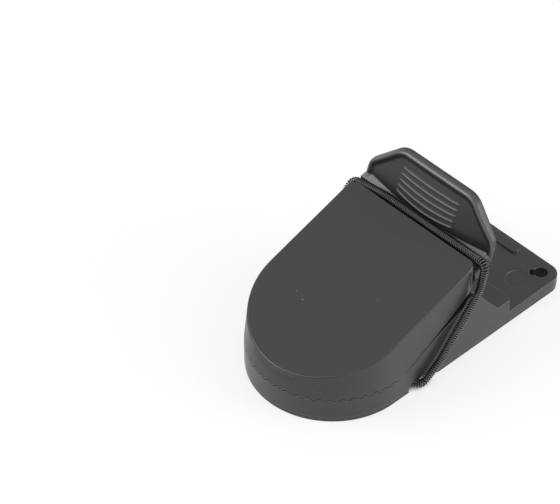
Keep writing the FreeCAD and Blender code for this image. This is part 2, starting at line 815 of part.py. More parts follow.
def trigger():
    """Rocking lever: two prongs behind, pivot pins, and the bait pedal inside the jaw."""
    slope = math.tan(math.radians(TRIGGER_TILT))
    rear_under = ARM_UNDER + (PRONG_REAR_Y - PIVOT_Y) * slope
    pedal_front_y = PEDAL_Y - PEDAL_RADIUS
    pedal_top = ARM_UNDER + PEDAL_THICKNESS
    side = side_slab(
        [
            (pedal_front_y, ARM_UNDER, 0),
            (PIVOT_Y, ARM_UNDER, 8.0),
            (PRONG_REAR_Y, rear_under, 1.0),
            (PRONG_REAR_Y, PRONG_TOP_Z - PRONG_NECK_DROP, 0.3),
            (PRONG_REAR_Y + PRONG_LIP, PRONG_TOP_Z - PRONG_LIP_DROP, 0.3),
            (PRONG_REAR_Y, PRONG_TOP_Z, 0.4),
            (PRONG_FRONT_Y, PRONG_TOP_Z, 0.5),
            (PRONG_FRONT_Y, arm_top(PRONG_FRONT_Y), 0.6),
            (PIVOT_Y, arm_top(PIVOT_Y), 6.0),
            (ARM_STEP[0], arm_top(PIVOT_Y), 1.5),
            (ARM_STEP[1], pedal_top, 1.5),
            (pedal_front_y, pedal_top, 0),
        ],
        -PEDAL_RADIUS,
        PEDAL_RADIUS,
    )
    arms = block((-TRIGGER_HALF, SHOULDER_Y, 0), (TRIGGER_HALF, FAR, FAR))
    stem = slab(
        [
            (-NECK_HALF, CROSS_MEMBER_Y + ARM_DEPTH, 0),
            (NECK_HALF, CROSS_MEMBER_Y + ARM_DEPTH, 0),
            (NECK_HALF, STEM_WAIST[0], 4.0),
            (PEDAL_ARM_HALF, STEM_WAIST[1], 4.0),
            (PEDAL_ARM_HALF, PEDAL_Y, 0),
            (-PEDAL_ARM_HALF, PEDAL_Y, 0),
            (-PEDAL_ARM_HALF, STEM_WAIST[1], 4.0),
            (-NECK_HALF, STEM_WAIST[0], 4.0),
        ],
        in_plan,
        Vector(0, 0, 0),
        Vector(0, 0, FAR),
    )
    pedal = Part.makeCylinder(PEDAL_RADIUS, FAR, Vector(0, PEDAL_Y, 0))
    plan = arms.fuse([stem, pedal])
    slot = block((-TRIGGER_SLOT_HALF, CROSS_MEMBER_Y, 0), (TRIGGER_SLOT_HALF, FAR, FAR))
    body = side.common(plan).cut(slot)
    cup = Part.makeCylinder(BAIT_CUP_RADIUS, BAIT_CUP_TOP - ARM_UNDER, Vector(0, PEDAL_Y, ARM_UNDER))
    well = Part.makeCylinder(
        BAIT_CUP_RADIUS - BAIT_CUP_WALL,
        FAR,
        Vector(0, PEDAL_Y, ARM_UNDER + BAIT_CUP_WALL),
    )
    pin_reach = WINDOW_HIGH_X + PIVOT_LAND / 2 - PIN_END_GAP
    pin = rod_x(PIVOT_PIN_RADIUS, TRIGGER_HALF - PIVOT_PIN_RADIUS, pin_reach, PIVOT_Y, PIVOT_Z)
    body = body.fuse(cup).cut(well)
    return body.fuse(both_sides(pin) + both_sides(ridge())).removeSplitter()


def route_points():
    """Corners and bends of the spring's centre line, from below up the +X side and back.

    On the +X side it sags rearwards, and on the -X side it runs straight and taut.
    """
    groove_y, groove_z = SPRING_GROOVE
    taut_y, taut_z = SPRING_TAUT_TOP
    points = [
        (Vector(SPRING_END_X, SPRING_Y, SPRING_LOW_Z), 0),
        (Vector(SPRING_SIDE_X, SPRING_Y, SPRING_LOW_Z), SPRING_LOW_CORNER),
    ]
    points += [(Vector(SPRING_SIDE_X, y, z), SPRING_BEND) for y, z in SPRING_SIDE[::-1]]
    points += [
        (Vector(SPRING_SIDE_X, groove_y, groove_z), SPRING_CORNER),
        (Vector(-SPRING_DIP_X, groove_y, groove_z), SPRING_DIP_BEND),
        (Vector(SPRING_TAUT_LEAN - SPRING_SIDE_X, taut_y, taut_z), SPRING_CORNER),
        (Vector(-SPRING_SIDE_X, SPRING_Y, SPRING_LOW_Z), SPRING_LOW_CORNER),
        (Vector(-SPRING_END_X, SPRING_Y, SPRING_LOW_Z), 0),
    ]
    return [point for point, radius in points], [radius for point, radius in points]


def route_pieces():
    """The centre line as straight runs and tangent arcs: (kind, length, data)."""
    points, radii = route_points()
    pieces = []
    here = points[0]
    for index in range(1, len(points) - 1):
        before = (here - points[index]).normalize()
        after = (points[index + 1] - points[index]).normalize()
        half = before.getAngle(after) / 2
        reach = radii[index] / math.tan(half)
        start = points[index] + before * reach
        end = points[index] + after * reach
        pieces.append(("line", start.distanceToPoint(here), here, before * -1))
        toward = (before + after).normalize()
        centre = points[index] + toward * (radii[index] / math.sin(half))
        turn = math.pi - 2 * half
        pieces.append(("arc", radii[index] * turn, start, before * -1, centre, radii[index]))
        here = end
    last = points[-1]
    pieces.append(("line", last.distanceToPoint(here), here, (last - here).normalize()))
    return pieces


def route_at(pieces, distance):
    """Point and direction on the centre line at a distance from its start."""
    for piece in pieces:
        if distance <= piece[1] or piece is pieces[-1]:
            break
        distance -= piece[1]
    start, heading = piece[2], piece[3]
    if piece[0] == "line":
        return start + heading * distance, heading
    centre, radius = piece[4], piece[5]
    angle = distance / radius
    inward = (centre - start).normalize()
    point = centre - inward * (radius * math.cos(angle)) + heading * (radius * math.sin(angle))
    return point, heading * math.cos(angle) + inward * math.sin(angle)


def coil_points():
    """Points and wire directions every half turn along the route, at the coil's radius."""
    pieces = route_pieces()
    length = sum(piece[1] for piece in pieces)
    coil_radius = (SPRING_DIAMETER - WIRE_DIAMETER) / 2
    steps = 2 * SPRING_TURNS * HALF_TURN_STEPS
    side = Vector(0, 0, 1)
    samples = []
    for step in range(steps + 1):
        centre, heading = route_at(pieces, length * step / steps)
        side = (side - heading * side.dot(heading)).normalize()
        across = heading.cross(side)
        angle = math.pi * step / HALF_TURN_STEPS
        samples.append(centre + (side * math.cos(angle) + across * math.sin(angle)) * coil_radius)
    knots = []
    for index in range(0, steps + 1, HALF_TURN_STEPS):
        before = samples[max(index - 1, 0)]
        after = samples[min(index + 1, steps)]
        knots.append((samples[index], (after - before).normalize()))
    return knots, samples, length


def biarc(start, start_heading, end, end_heading):
    """Two tangent arcs that join two points with given directions."""
    chord = end - start
    both = start_heading + end_heading
    a = 2 * (1 - start_heading.dot(end_heading))
    b = 2 * chord.dot(both)
    c = chord.dot(chord)
    reach = 2 * c / (b + math.sqrt(b * b + 4 * a * c))
    first = start + start_heading * reach
    second = end - end_heading * reach
    middle = (first + second) * 0.5
    edges = []
    for low, corner, high in ((start, first, middle), (middle, second, end)):
        turn = math.pi - (low - corner).getAngle(high - corner)
        toward = ((low + high) * 0.5 - corner).normalize()
        crown = corner + toward * (reach * math.tan(turn / 4))
        edges.append(Part.Arc(low, crown, high).toShape())
    return edges


def spring():
    """One wire coiled along the loop round base and cover, its ends meeting underneath."""
    knots, samples, length = coil_points()
    first, first_heading = knots[0]
    last, last_heading = knots[-1]
    lead = first - first_heading * WIRE_DIAMETER
    edges = [Part.LineSegment(lead, first).toShape()]
    for (start, start_heading), (end, end_heading) in zip(knots, knots[1:]):
        edges += biarc(start, start_heading, end, end_heading)
    edges.append(Part.LineSegment(last, last + last_heading * WIRE_DIAMETER).toShape())
    across = first_heading.cross(Vector(0, 0, 1)).normalize()
    upright = across.cross(first_heading)
    section = []
    for index in range(WIRE_SIDES + 1):
        angle = 2 * math.pi * index / WIRE_SIDES
        offset = across * math.cos(angle) + upright * math.sin(angle)
        section.append(lead + offset * (WIRE_DIAMETER / 2))
    ring = Part.makePolygon(section)
    body = Part.Wire(edges).makePipeShell([ring], True, False)
    print("spring loop", round(length, 1), "mm, least gap", round(least_gap(samples), 2), "mm")
    return body


def least_gap(samples):
    """Smallest clear distance between parts of the wire at least half a turn apart."""
    least = FAR
    for index, here in enumerate(samples):
        for other in samples[index + HALF_TURN_STEPS : index + 6 * HALF_TURN_STEPS]:
            least = min(least, here.distanceToPoint(other))
    ends = samples[0].distanceToPoint(samples[-1])
    return min(least, ends) - WIRE_DIAMETER


def main():
    os.makedirs("parts", exist_ok=True)
    nodes = {
        "base": base(),
        "cover": cover(),
        "trigger": trigger(),
        "spring": spring(),
    }
    for name, shape in nodes.items():
        solids = shape.Solids
        print(name, "solids", len(solids), "valid", shape.isValid(), "volume", round(shape.Volume, 1))
        shape.exportStep("parts/" + name + ".step")


main()
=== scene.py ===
# %% [markdown]
# # A snap mouse trap
# The trap is four pieces: a black plastic base with a lower jaw, a hinged cover with
# the upper jaw and a thumb tab, a rocking trigger, and one long coil spring.
# The base and the trigger come ready from the CAD model and only get their surface
# here. The cover gets a rounder tab, and the spring is wound again with its full
# number of turns.

# %% Load the measured model
import math

import bmesh
import bpy
import numpy as np
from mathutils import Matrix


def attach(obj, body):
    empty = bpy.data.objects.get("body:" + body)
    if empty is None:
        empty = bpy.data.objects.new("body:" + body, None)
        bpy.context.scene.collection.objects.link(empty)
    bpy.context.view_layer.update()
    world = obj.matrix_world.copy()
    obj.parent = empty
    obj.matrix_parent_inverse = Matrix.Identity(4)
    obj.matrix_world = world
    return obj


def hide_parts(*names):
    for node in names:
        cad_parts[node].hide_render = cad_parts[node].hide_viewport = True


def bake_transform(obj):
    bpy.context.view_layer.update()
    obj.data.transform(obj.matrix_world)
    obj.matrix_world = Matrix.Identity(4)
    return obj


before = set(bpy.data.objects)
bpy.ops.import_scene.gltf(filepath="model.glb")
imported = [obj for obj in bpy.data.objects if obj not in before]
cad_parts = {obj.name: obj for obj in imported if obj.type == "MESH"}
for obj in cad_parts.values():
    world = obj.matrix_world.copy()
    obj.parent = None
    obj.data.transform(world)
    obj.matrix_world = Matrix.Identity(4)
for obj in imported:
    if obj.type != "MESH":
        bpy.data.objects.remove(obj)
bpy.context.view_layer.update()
MM = 0.001


# %% [markdown]
# ## The camera
# The photograph was taken from high on the front right with a long lens: parallel
# edges hardly draw together. Both traps in it share one camera, so its place was
# worked out from their corners. A camera object can be aimed with a Track To
# constraint or with plain angles; angles are used, because they were solved for.

# %% Camera
LENS_MM = 233.31
SENSOR_MM = 36.0
DOWN_DEGREES = 43.677
TURN_DEGREES = 46.183
CAMERA_PLACE = (0.495270, -0.516429, 0.708800)

camera_data = bpy.data.cameras.new("camera")
camera_data.lens = LENS_MM
camera_data.sensor_width = SENSOR_MM
camera = bpy.data.objects.new("camera", camera_data)
camera.location = CAMERA_PLACE
camera.rotation_euler = (math.radians(90 - DOWN_DEGREES), 0, math.radians(TURN_DEGREES))
bpy.context.scene.collection.objects.link(camera)
bpy.context.scene.camera = camera
print("camera", LENS_MM, "mm,", DOWN_DEGREES, "degrees down")

# %% [markdown]
# ## Colours and node helpers
# Colours are written as the hex values that a paint program shows. Blender works in
# linear light, so one function turns them. Another adds a shader node, sets its
# inputs and links what is a socket.


# %% Colour and node helpers
def colour(code):
    """Linear RGBA of an sRGB hex code, by the standard sRGB curve."""
    parts = [int(code[i : i + 2], 16) / 255 for i in (1, 3, 5)]
    linear = [p / 12.92 if p <= 0.04045 else ((p + 0.055) / 1.055) ** 2.4 for p in parts]
    return (*linear, 1.0)


def add(tree, kind, inputs=None, **settings):
    """Adds one shader node. Its inputs, by name or number, are values or sockets to link."""
    node = tree.nodes.new("ShaderNode" + kind)
    for name, value in settings.items():
        setattr(node, name, value)
    for key, value in (inputs or {}).items():
        if isinstance(value, bpy.types.NodeSocket):
            tree.links.new(value, node.inputs[key])
        else:
            node.inputs[key].default_value = value
    return node


def new_material(name):
    """A material with an empty node tree, and that tree."""
    material = bpy.data.materials.new(name)
    material.use_nodes = True
    material.node_tree.nodes.clear()
    return material, material.node_tree


print("black plastic in linear light:", [round(v, 4) for v in colour("#232324")[:3]])

# %% [markdown]
# ## Black moulded polystyrene
# The three mouldings are injection moulded in one black plastic, high impact
# polystyrene. The steel mould was spark eroded where the part should look matt, so
# the roof has a fine even grain, and the plate and walls a smoother satin. The real
# grain is some 0.05 mm wide, too fine to show here, so it is drawn 0.4 mm wide. A
# black plastic shows its light mostly by gloss: what it reflects is brighter than its
# own colour, so the roughness decides how it looks. Its edges are never sharp: a mould
# cut with a small tool leaves a rounding of a fifth of a millimetre, drawn here at a
# third so that it shows, and handling polishes it. Its thin bright line is partly that
# rounding catching the lamps and partly a lighter grey, a painted highlight. That
# rounding could be a Bevel modifier on a copy of each mesh; the Bevel shader node gives
# the same line of light and leaves the measured mesh alone.

# %% Plastic material
POLYSTYRENE_IOR = 1.59
EDGE_ROUNDING = 0.35 * MM
PAINTED_HIGHLIGHT_GREY = "#565658"
DUST_GREY = "#7c7b78"
GRIT = 0.4 * MM
PATCH = 8 * MM
DRIFT = 25 * MM
DUST = 0.9 * MM


def moulded_plastic(name, dark, light, rough, grit_depth):
    """Black polystyrene from a spark eroded mould.

    Grit is noise in the bump, handling is soft patches in the roughness, the pigment
    drifts over the whole piece, and dust is the rare peaks of a fine noise. Where the
    rounded normal leaves the face's own, a lighter grey is painted along the edge as a
    painted highlight.
    """
    material, tree = new_material(name)
    place = add(tree, "TexCoord").outputs["Object"]
    grit = add(tree, "TexNoise", {"Vector": place, "Scale": 1 / GRIT, "Detail": 2.0})
    patch = add(tree, "TexNoise", {"Vector": place, "Scale": 1 / PATCH, "Detail": 4.0})
    drift = add(tree, "TexNoise", {"Vector": place, "Scale": 1 / DRIFT, "Detail": 2.0})
    dust = add(tree, "TexNoise", {"Vector": place, "Scale": 1 / DUST, "Detail": 1.0})
    rounded = add(tree, "Bevel", {"Radius": EDGE_ROUNDING}, samples=6)
    face = add(tree, "NewGeometry")
    same = add(
        tree, "VectorMath",
        {0: rounded.outputs["Normal"], 1: face.outputs["True Normal"]},
        operation="DOT_PRODUCT",
    )
    edge = add(
        tree, "MapRange", {"Value": same.outputs["Value"], "From Min": 0.99, "From Max": 0.93},
    )
    body = add(
        tree, "Mix", {0: drift.outputs["Fac"], 6: colour(dark), 7: colour(light)},
        data_type="RGBA",
    )
    # Painted highlight: a lighter grey is mixed into the colour along the edges.
    edge_painted_highlight = add(
        tree, "Mix", {0: edge.outputs["Result"], 6: body.outputs[2], 7: colour(PAINTED_HIGHLIGHT_GREY)},
        data_type="RGBA",
    )
    speck = add(
        tree, "MapRange", {"Value": dust.outputs["Fac"], "From Min": 0.79, "From Max": 0.82},
    )
    dusted = add(
        tree, "Mix", {0: speck.outputs["Result"], 6: edge_painted_highlight.outputs[2], 7: colour(DUST_GREY)},
        data_type="RGBA",
    )
    gloss = add(
        tree, "MapRange",
        {
            "Value": patch.outputs["Fac"], "From Min": 0.3, "From Max": 0.7,
            "To Min": rough[0], "To Max": rough[1],
        },
    )
    bump = add(
        tree, "Bump",
        {
            "Strength": 0.3, "Distance": grit_depth * MM,
            "Height": grit.outputs["Fac"], "Normal": rounded.outputs["Normal"],
        },
    )
    shader = add(
        tree, "BsdfPrincipled",
        {
            "Base Color": dusted.outputs[2], "Roughness": gloss.outputs["Result"],
            "IOR": POLYSTYRENE_IOR, "Normal": bump.outputs["Normal"],
        },
    )
    add(tree, "OutputMaterial", {"Surface": shader.outputs["BSDF"]})
    return material


# %% Finish of each moulding
finishes = {
    "base": moulded_plastic(
        "black_polystyrene_satin", "#232324", "#2a2a2b", rough=(0.3, 0.38), grit_depth=0.02,
    ),
    "cover": moulded_plastic(
        "black_polystyrene_sparked", "#222223", "#292929", rough=(0.3, 0.38), grit_depth=0.03,
    ),
    "trigger": moulded_plastic(
        "black_polystyrene_smooth", "#202021", "#272728", rough=(0.28, 0.36), grit_depth=0.015,
    ),
}
for node, material in finishes.items():
    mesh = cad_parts[node].data
    mesh.materials.clear()
    mesh.materials.append(material)
    print(node, "gets", material.name)

# %% [markdown]
# ## The thumb tab
# The tab that the thumb presses is the most handled part of the cover, and every edge
# of it is round: a soft crown and shoulders, a hollow face with five grip ribs, and a
# foot that bulges forward in the middle and leaves a narrow ledge at each end. The
# measured model has the same tab with plain faces. A Bevel modifier would round its
# edges but not hollow its face, so the tab is worked out again as two surfaces, front
# and back, over one outline, and the cover's copy is cut off below it. All sizes of
# the tab are in millimetres.

# %% Outline of the tab
OUTLINE = np.array([(24.0, 27.85), (23.75, 34.9), (13.6, 43.9), (0.0, 43.9)])
OUTLINE_RADII = (0.0, 4.5, 7.0, 0.0)
OUTLINE_STEP = 0.4
FOOT_Z = 30.8
TOP_Z = 43.9
ARC_POINTS = 40


def rounded_route(corners, radii, step):
    """Evenly spaced points on a polyline whose corners are arcs of the given radii.

    At each corner the arc starts radius / tan(half angle) before it and ends as far
    after it; its points are the centre plus two perpendicular radii, weighted by the
    cosine and sine of the turned angle.
    """
    points = [corners[:1]]
    for before, here, after, radius in zip(corners, corners[1:], corners[2:], radii[1:]):
        back = (before - here) / np.linalg.norm(before - here)
        ahead = (after - here) / np.linalg.norm(after - here)
        half = np.arccos(back @ ahead) / 2
        start = here + back * radius / np.tan(half)
        middle = (back + ahead) / np.linalg.norm(back + ahead)
        centre = here + middle * radius / np.sin(half)
        angles = np.linspace(0, np.pi - 2 * half, ARC_POINTS)[:, None]
        spoke = start - centre
        points.append(centre + spoke * np.cos(angles) - back * radius * np.sin(angles))
    points.append(corners[-1:])
    line = np.concatenate(points)
    lengths = np.linalg.norm(np.diff(line, axis=0), axis=1)
    along = np.concatenate([[0], np.cumsum(lengths)])
    even = np.linspace(0, along[-1], int(along[-1] / step) + 1)
    return np.stack([np.interp(even, along, column) for column in line.T], axis=1), along[-1]


outline, outline_length = rounded_route(OUTLINE, OUTLINE_RADII, OUTLINE_STEP)
print("half outline of the tab", round(outline_length, 1), "mm")

# %% Edges of the tab
FRONT_RADIUS = 0.65
BACK_RADIUS = 0.8
THIN_FOOT_Z = 29.5
THICKENING_HEIGHT = 6.0
LEAST_ROUNDING = 0.05


def smooth(value):
    """The S-curve 3 t^2 - 2 t^3, with t the value held between 0 and 1."""
    t = np.clip(value, 0, 1)
    return t * t * (3 - 2 * t)


def edge_distance(x, z):
    """How far each point of the face is from the nearest short piece of the outline.

    On a piece from a to b the nearest point is a + t (b - a), with t the share of b - a
    that the point projects to, held between 0 and 1.
    """
    points = np.stack([np.abs(x), z], axis=-1).reshape(-1, 1, 2)
    start, piece = outline[None, :-1], np.diff(outline, axis=0)[None]
    share = np.clip(((points - start) * piece).sum(axis=2) / (piece**2).sum(axis=2), 0, 1)
    gap = points - start - share[..., None] * piece
    return np.linalg.norm(gap, axis=2).min(axis=1).reshape(x.shape)


def rounding(distance, radius, z):
    """How far a rounded edge falls back: r - sqrt(r^2 - (r - d)^2) within r of the edge.

    It fades where the tab grows thin towards its foot.
    """
    inside = radius - np.minimum(distance, radius)
    fade = np.clip((z - THIN_FOOT_Z) / THICKENING_HEIGHT, LEAST_ROUNDING, 1)
    return (radius - np.sqrt(radius**2 - inside**2)) * fade


print("edge radii of the tab", FRONT_RADIUS, "and", BACK_RADIUS, "mm")

# %% Grip ribs
RIB_PITCH = 1.66
RIB_HEIGHT = 0.3
RIB_WIDTH = 0.22
RIB_SAGS = (0.8, 0.65, 0.5, 0.35, 0.2)
FIRST_RIB = 1.9
RIB_MIDDLE_X = -0.8
RIB_HALF_LENGTH = 10.9
RIB_END = 0.6
SAG_HALF_LENGTH = 10.4


def ribs(x, z):
    """Five ridges on arcs that sag less towards the top.

    Each ridge has a bell profile, e^-(d / width)^2 with d the height above its arc, and
    runs out in an S-curve at its ends.
    """
    height = np.zeros_like(x)
    for index, sag in enumerate(RIB_SAGS):
        dip = sag * (1 - ((x - RIB_MIDDLE_X) / SAG_HALF_LENGTH) ** 2)
        line = FOOT_Z + FIRST_RIB + index * RIB_PITCH - dip
        height += np.exp(-(((z - line) / RIB_WIDTH) ** 2))
    return RIB_HEIGHT * height * smooth((RIB_HALF_LENGTH - np.abs(x - RIB_MIDDLE_X)) / RIB_END)


print(len(RIB_SAGS), "ribs, one each", RIB_PITCH, "mm")

# %% Front and back of the tab
FRONT_Y, FRONT_SLOPE = 14.7, 0.24
BULGE = 2.7
BULGE_POWER = 1.4
BULGE_HALF_WIDTH = 23.9
HOLLOW = 0.9
HOLLOW_RIM = 0.1
HOLLOW_SLOPE = 2.0
FLARE_Y, FLARE_SLOPE, FLARE_Z = 10.84, 0.667, 23.0
UPRIGHT_Y, UPRIGHT_SLOPE, UPRIGHT_Z = 17.2, 0.3, 33.0
SOFTNESS = 0.7


def front_y(x, z):
    """Leaning plane, less the bulge of the foot, plus hollow and rounding, less the ribs."""
    rise = np.clip((z - FOOT_Z) / (TOP_Z - FOOT_Z), 0, 1)
    plane = FRONT_Y + FRONT_SLOPE * (z - FOOT_Z)
    bulge = BULGE * (1 - rise**BULGE_POWER) * (1 - (x / BULGE_HALF_WIDTH) ** 2)
    edge = edge_distance(x, z)
    hollow = HOLLOW * smooth((edge - FRONT_RADIUS + HOLLOW_RIM) / HOLLOW_SLOPE)
    return plane - bulge + hollow + rounding(edge, FRONT_RADIUS, z) - ribs(x, z)


def back_y(x, z):
    """The lower of the flare's slope and the upright back, with a soft change between.

    The soft minimum is -s log(e^(-flare / s) + e^(-upright / s)), with s the softness.
    """
    flare = FLARE_Y + FLARE_SLOPE * (z - FLARE_Z)
    upright = UPRIGHT_Y + UPRIGHT_SLOPE * (z - UPRIGHT_Z)
    soft = -SOFTNESS * np.log(np.exp(-flare / SOFTNESS) + np.exp(-upright / SOFTNESS))
    return soft - rounding(edge_distance(x, z), BACK_RADIUS, z)


print("tab's front starts at y", FRONT_Y, "mm and leans back by", FRONT_SLOPE, "mm per mm")

# %% Grid of the tab
COLUMNS = 161
ROWS = 121
SKIRT_Z = np.array([27.85, 28.6, 29.3, 29.9, 30.35, 30.55])
SKIRT_Y, SKIRT_SLOPE, SKIRT_TOP_Z = 12.68, -0.588, 30.45
LEDGE_Y = 12.78

spread = np.sin(np.linspace(-np.pi / 2, np.pi / 2, COLUMNS))
upward = TOP_Z - (TOP_Z - FOOT_Z) * (1 - np.sin(np.linspace(0, np.pi / 2, ROWS)))
skirt_y = np.append(SKIRT_Y + SKIRT_SLOPE * (SKIRT_Z[:-1] - SKIRT_TOP_Z), LEDGE_Y)
rows = np.concatenate([SKIRT_Z, upward])
half_width = np.interp(rows, outline[:, 1], outline[:, 0])
half_width[-1] = outline[outline[:, 1] > TOP_Z - 1e-6, 0].max()
face_x = half_width[:, None] * spread
face_z = np.broadcast_to(rows[:, None], face_x.shape)
front = front_y(face_x, face_z)
front[: len(skirt_y)] = skirt_y[:, None]
back = back_y(face_x, face_z)
print("tab from y", round(front.min(), 1), "to", round(back.max(), 1), "mm, top", TOP_Z)

# %% [markdown]
# ## Thumb-worn polystyrene with painted light
# The tab is the same black plastic, matt in the hollow, where the mould was sparked,
# and polished by thumbs on the ribs and along the rim. Its colour is darker than the
# cover's, a painted shade for the dark hollow. How polished each point is, is a number
# on the mesh, from the height of the rib and the distance to the edge. It turns the
# roughness down, and the grey up as a painted highlight, so the crests draw thin bright
# lines.

# %% Tab material
THUMB_PATCH = 5 * MM


def thumb_plastic():
    """A darker copy of the cover's plastic, a painted shade. The mesh attribute for
    polish is mixed into gloss and into a lighter grey, a painted highlight.
    """
    material, tree = new_material("black_polystyrene_thumb_worn_painted_light")
    place = add(tree, "TexCoord").outputs["Object"]
    polish_and_highlight = add(tree, "Attribute", attribute_name="polish_and_highlight").outputs["Fac"]
    grit = add(tree, "TexNoise", {"Vector": place, "Scale": 1 / GRIT, "Detail": 2.0})
    patch = add(tree, "TexNoise", {"Vector": place, "Scale": 1 / THUMB_PATCH, "Detail": 4.0})
    # Painted shade: the tab's base colours are darker than the cover's, to darken its hollow.
    hollow = add(
        tree, "Mix", {0: patch.outputs["Fac"], 6: colour("#161617"), 7: colour("#1d1d1e")},
        data_type="RGBA",
    )
    # Painted highlight: where the tab is polished, its colour turns to a lighter grey.
    worn_and_highlit = add(
        tree, "Mix", {0: polish_and_highlight, 6: hollow.outputs[2], 7: colour(PAINTED_HIGHLIGHT_GREY)},
        data_type="RGBA",
    )
    gloss = add(tree, "MapRange", {"Value": polish_and_highlight, "To Min": 0.5, "To Max": 0.28})
    depth = add(tree, "MapRange", {"Value": polish_and_highlight, "To Min": 0.3, "To Max": 0.04})
    bump = add(
        tree, "Bump",
        {
            "Strength": depth.outputs["Result"], "Distance": 0.02 * MM,
            "Height": grit.outputs["Fac"],
        },
    )
    shader = add(
        tree, "BsdfPrincipled",
        {
            "Base Color": worn_and_highlit.outputs[2], "Roughness": gloss.outputs["Result"],
            "IOR": POLYSTYRENE_IOR, "Normal": bump.outputs["Normal"],
        },
    )
    add(tree, "OutputMaterial", {"Surface": shader.outputs["BSDF"]})
    return material


tab_material = thumb_plastic()
print("tab gets", tab_material.name)


# %% Mesh helpers
def mesh_piece(name, points_mm, quads, material):
    """One object at the origin whose mesh holds the points, in metres, with smooth faces."""
    mesh = bpy.data.meshes.new(name)
    mesh.from_pydata((points_mm * MM).tolist(), [], quads.tolist())
    mesh.materials.append(material)
    mesh.polygons.foreach_set("use_smooth", np.ones(len(mesh.polygons), bool))
    mesh.update()
    piece = bpy.data.objects.new(name, mesh)
    bpy.context.scene.collection.objects.link(piece)
    return piece


def grid_quads(count_rows, count_columns, first=0):
    """Quads between neighbouring points of a grid that is numbered row by row."""
    row_starts = first + np.arange(count_rows - 1)[:, None] * count_columns
    corner = row_starts + np.arange(count_columns - 1)
    above = corner + count_columns
    return np.stack([corner, corner + 1, above + 1, above], axis=2).reshape(-1, 4)


print("quads on each face of the tab:", len(grid_quads(*front.shape)))

# %% Mesh of the tab
shape = front.shape
front_points = np.stack([face_x, front, face_z], axis=2).reshape(-1, 3)
back_points = np.stack([face_x, back, face_z], axis=2).reshape(-1, 3)
number = np.arange(front.size).reshape(shape)
loop = np.concatenate([number[0, :-1], number[:-1, -1], number[-1, :0:-1], number[:0:-1, 0]])
following = np.roll(loop, -1)
rim = np.stack([loop, loop + front.size, following + front.size, following], axis=1)
quads = np.concatenate([grid_quads(*shape), grid_quads(*shape, front.size)[:, ::-1], rim])
tab = mesh_piece("thumb_tab", np.concatenate([front_points, back_points]), quads, tab_material)
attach(tab, "cover")
print("thumb tab", len(quads) * 2, "triangles")

# %% Polish and painted highlight on the tab
CREST_INSET = 0.3
CREST_WIDTH = 0.35
CREST_RISE = 2.0
RIB_POLISH_AND_HIGHLIGHT = 0.8
BACK_POLISH_AND_HIGHLIGHT = 0.3
LEDGE_ROWS = slice(5, 8)
LEDGE_POLISH_AND_HIGHLIGHT = 0.6

from_crest = (edge_distance(face_x, face_z) - CREST_INSET) / CREST_WIDTH
crest = np.exp(-(from_crest**2)) * smooth((face_z - THIN_FOOT_Z) / CREST_RISE)
crest[LEDGE_ROWS] = LEDGE_POLISH_AND_HIGHLIGHT
rib_polish_and_highlight = RIB_POLISH_AND_HIGHLIGHT * (ribs(face_x, face_z) / RIB_HEIGHT) ** 2
# Painted highlight: these values also lighten the colour of crests, ribs, ledges and rim.
polish_and_highlight = np.concatenate([np.maximum(rib_polish_and_highlight, crest), BACK_POLISH_AND_HIGHLIGHT * crest]).ravel()
layer = tab.data.attributes.new("polish_and_highlight", "FLOAT", "POINT")
layer.data.foreach_set("value", np.clip(polish_and_highlight, 0, 1))
print("polish from", round(polish_and_highlight.min(), 2), "to", round(polish_and_highlight.max(), 2))

# %% [markdown]
# ## The cover below the tab
# The rest of the cover is the measured mesh. Its triangles are loose, so a copy is
# merged first, cut along a plane behind the spring's groove, and closed again. The
# neck's ends come in to the width of the rounder tab, and the round front wall leans
# back by a millimetre at the roof, which slides along its own slope. The lean grows
# evenly from the wall's foot, so the long faces above the teeth stay straight. A
# smooth shade across the roof's edge would smear it, so the roof is shaded flat, and
# an edge of more than 15 degrees stays sharp.

# %% Cut off the plain tab
MERGE_DISTANCE = 0.001 * MM
CUT_POINT = (0.0, 12.8, 30.45)
CUT_NORMAL = (0.0, 0.862, 0.507)
CUT_TOLERANCE = 1e-7

shell_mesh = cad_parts["cover"].data.copy()
work = bmesh.new()
work.from_mesh(shell_mesh)
bmesh.ops.remove_doubles(work, verts=work.verts, dist=MERGE_DISTANCE)
whole = work.verts[:] + work.edges[:] + work.faces[:]
cut = bmesh.ops.bisect_plane(
    work, geom=whole, dist=CUT_TOLERANCE,
    plane_co=[v * MM for v in CUT_POINT], plane_no=CUT_NORMAL, clear_outer=True,
)
cut_edges = [item for item in cut["geom_cut"] if isinstance(item, bmesh.types.BMEdge)]
bmesh.ops.holes_fill(work, edges=cut_edges, sides=0)
work.to_mesh(shell_mesh)
work.free()
print("cover shell", len(shell_mesh.polygons), "faces, cut edges", len(cut_edges))

# %% Neck and front wall
NECK_HALF_WIDTH = 23.98
NECK_FROM_Z = 27.0
NECK_FROM_Y = 9.9
FRONT_LEAN = 1.2
LEAN_FROM_Y = -18.0
LEAN_LENGTH = 24.0
WALL_FOOT_Z = 8.5
ROOF_Z = 28.4
ROOF_SLOPE = 0.325

points = np.empty(len(shell_mesh.vertices) * 3)
shell_mesh.vertices.foreach_get("co", points)
points = points.reshape(-1, 3) / MM
neck_end = (points[:, 2] > NECK_FROM_Z) & (points[:, 1] > NECK_FROM_Y)
points[neck_end, 0] = np.clip(points[neck_end, 0], -NECK_HALF_WIDTH, NECK_HALF_WIDTH)
roof_z = ROOF_Z + ROOF_SLOPE * points[:, 1]
height = np.clip((points[:, 2] - WALL_FOOT_Z) / (roof_z - WALL_FOOT_Z), 0, 1)
lean = FRONT_LEAN * smooth((LEAN_FROM_Y - points[:, 1]) / LEAN_LENGTH) * height
points[:, 1] += lean
points[:, 2] += ROOF_SLOPE * lean
shell_mesh.vertices.foreach_set("co", (points * MM).ravel())
shell_mesh.update()
print("front wall leans back by up to", round(lean.max(), 2), "mm")

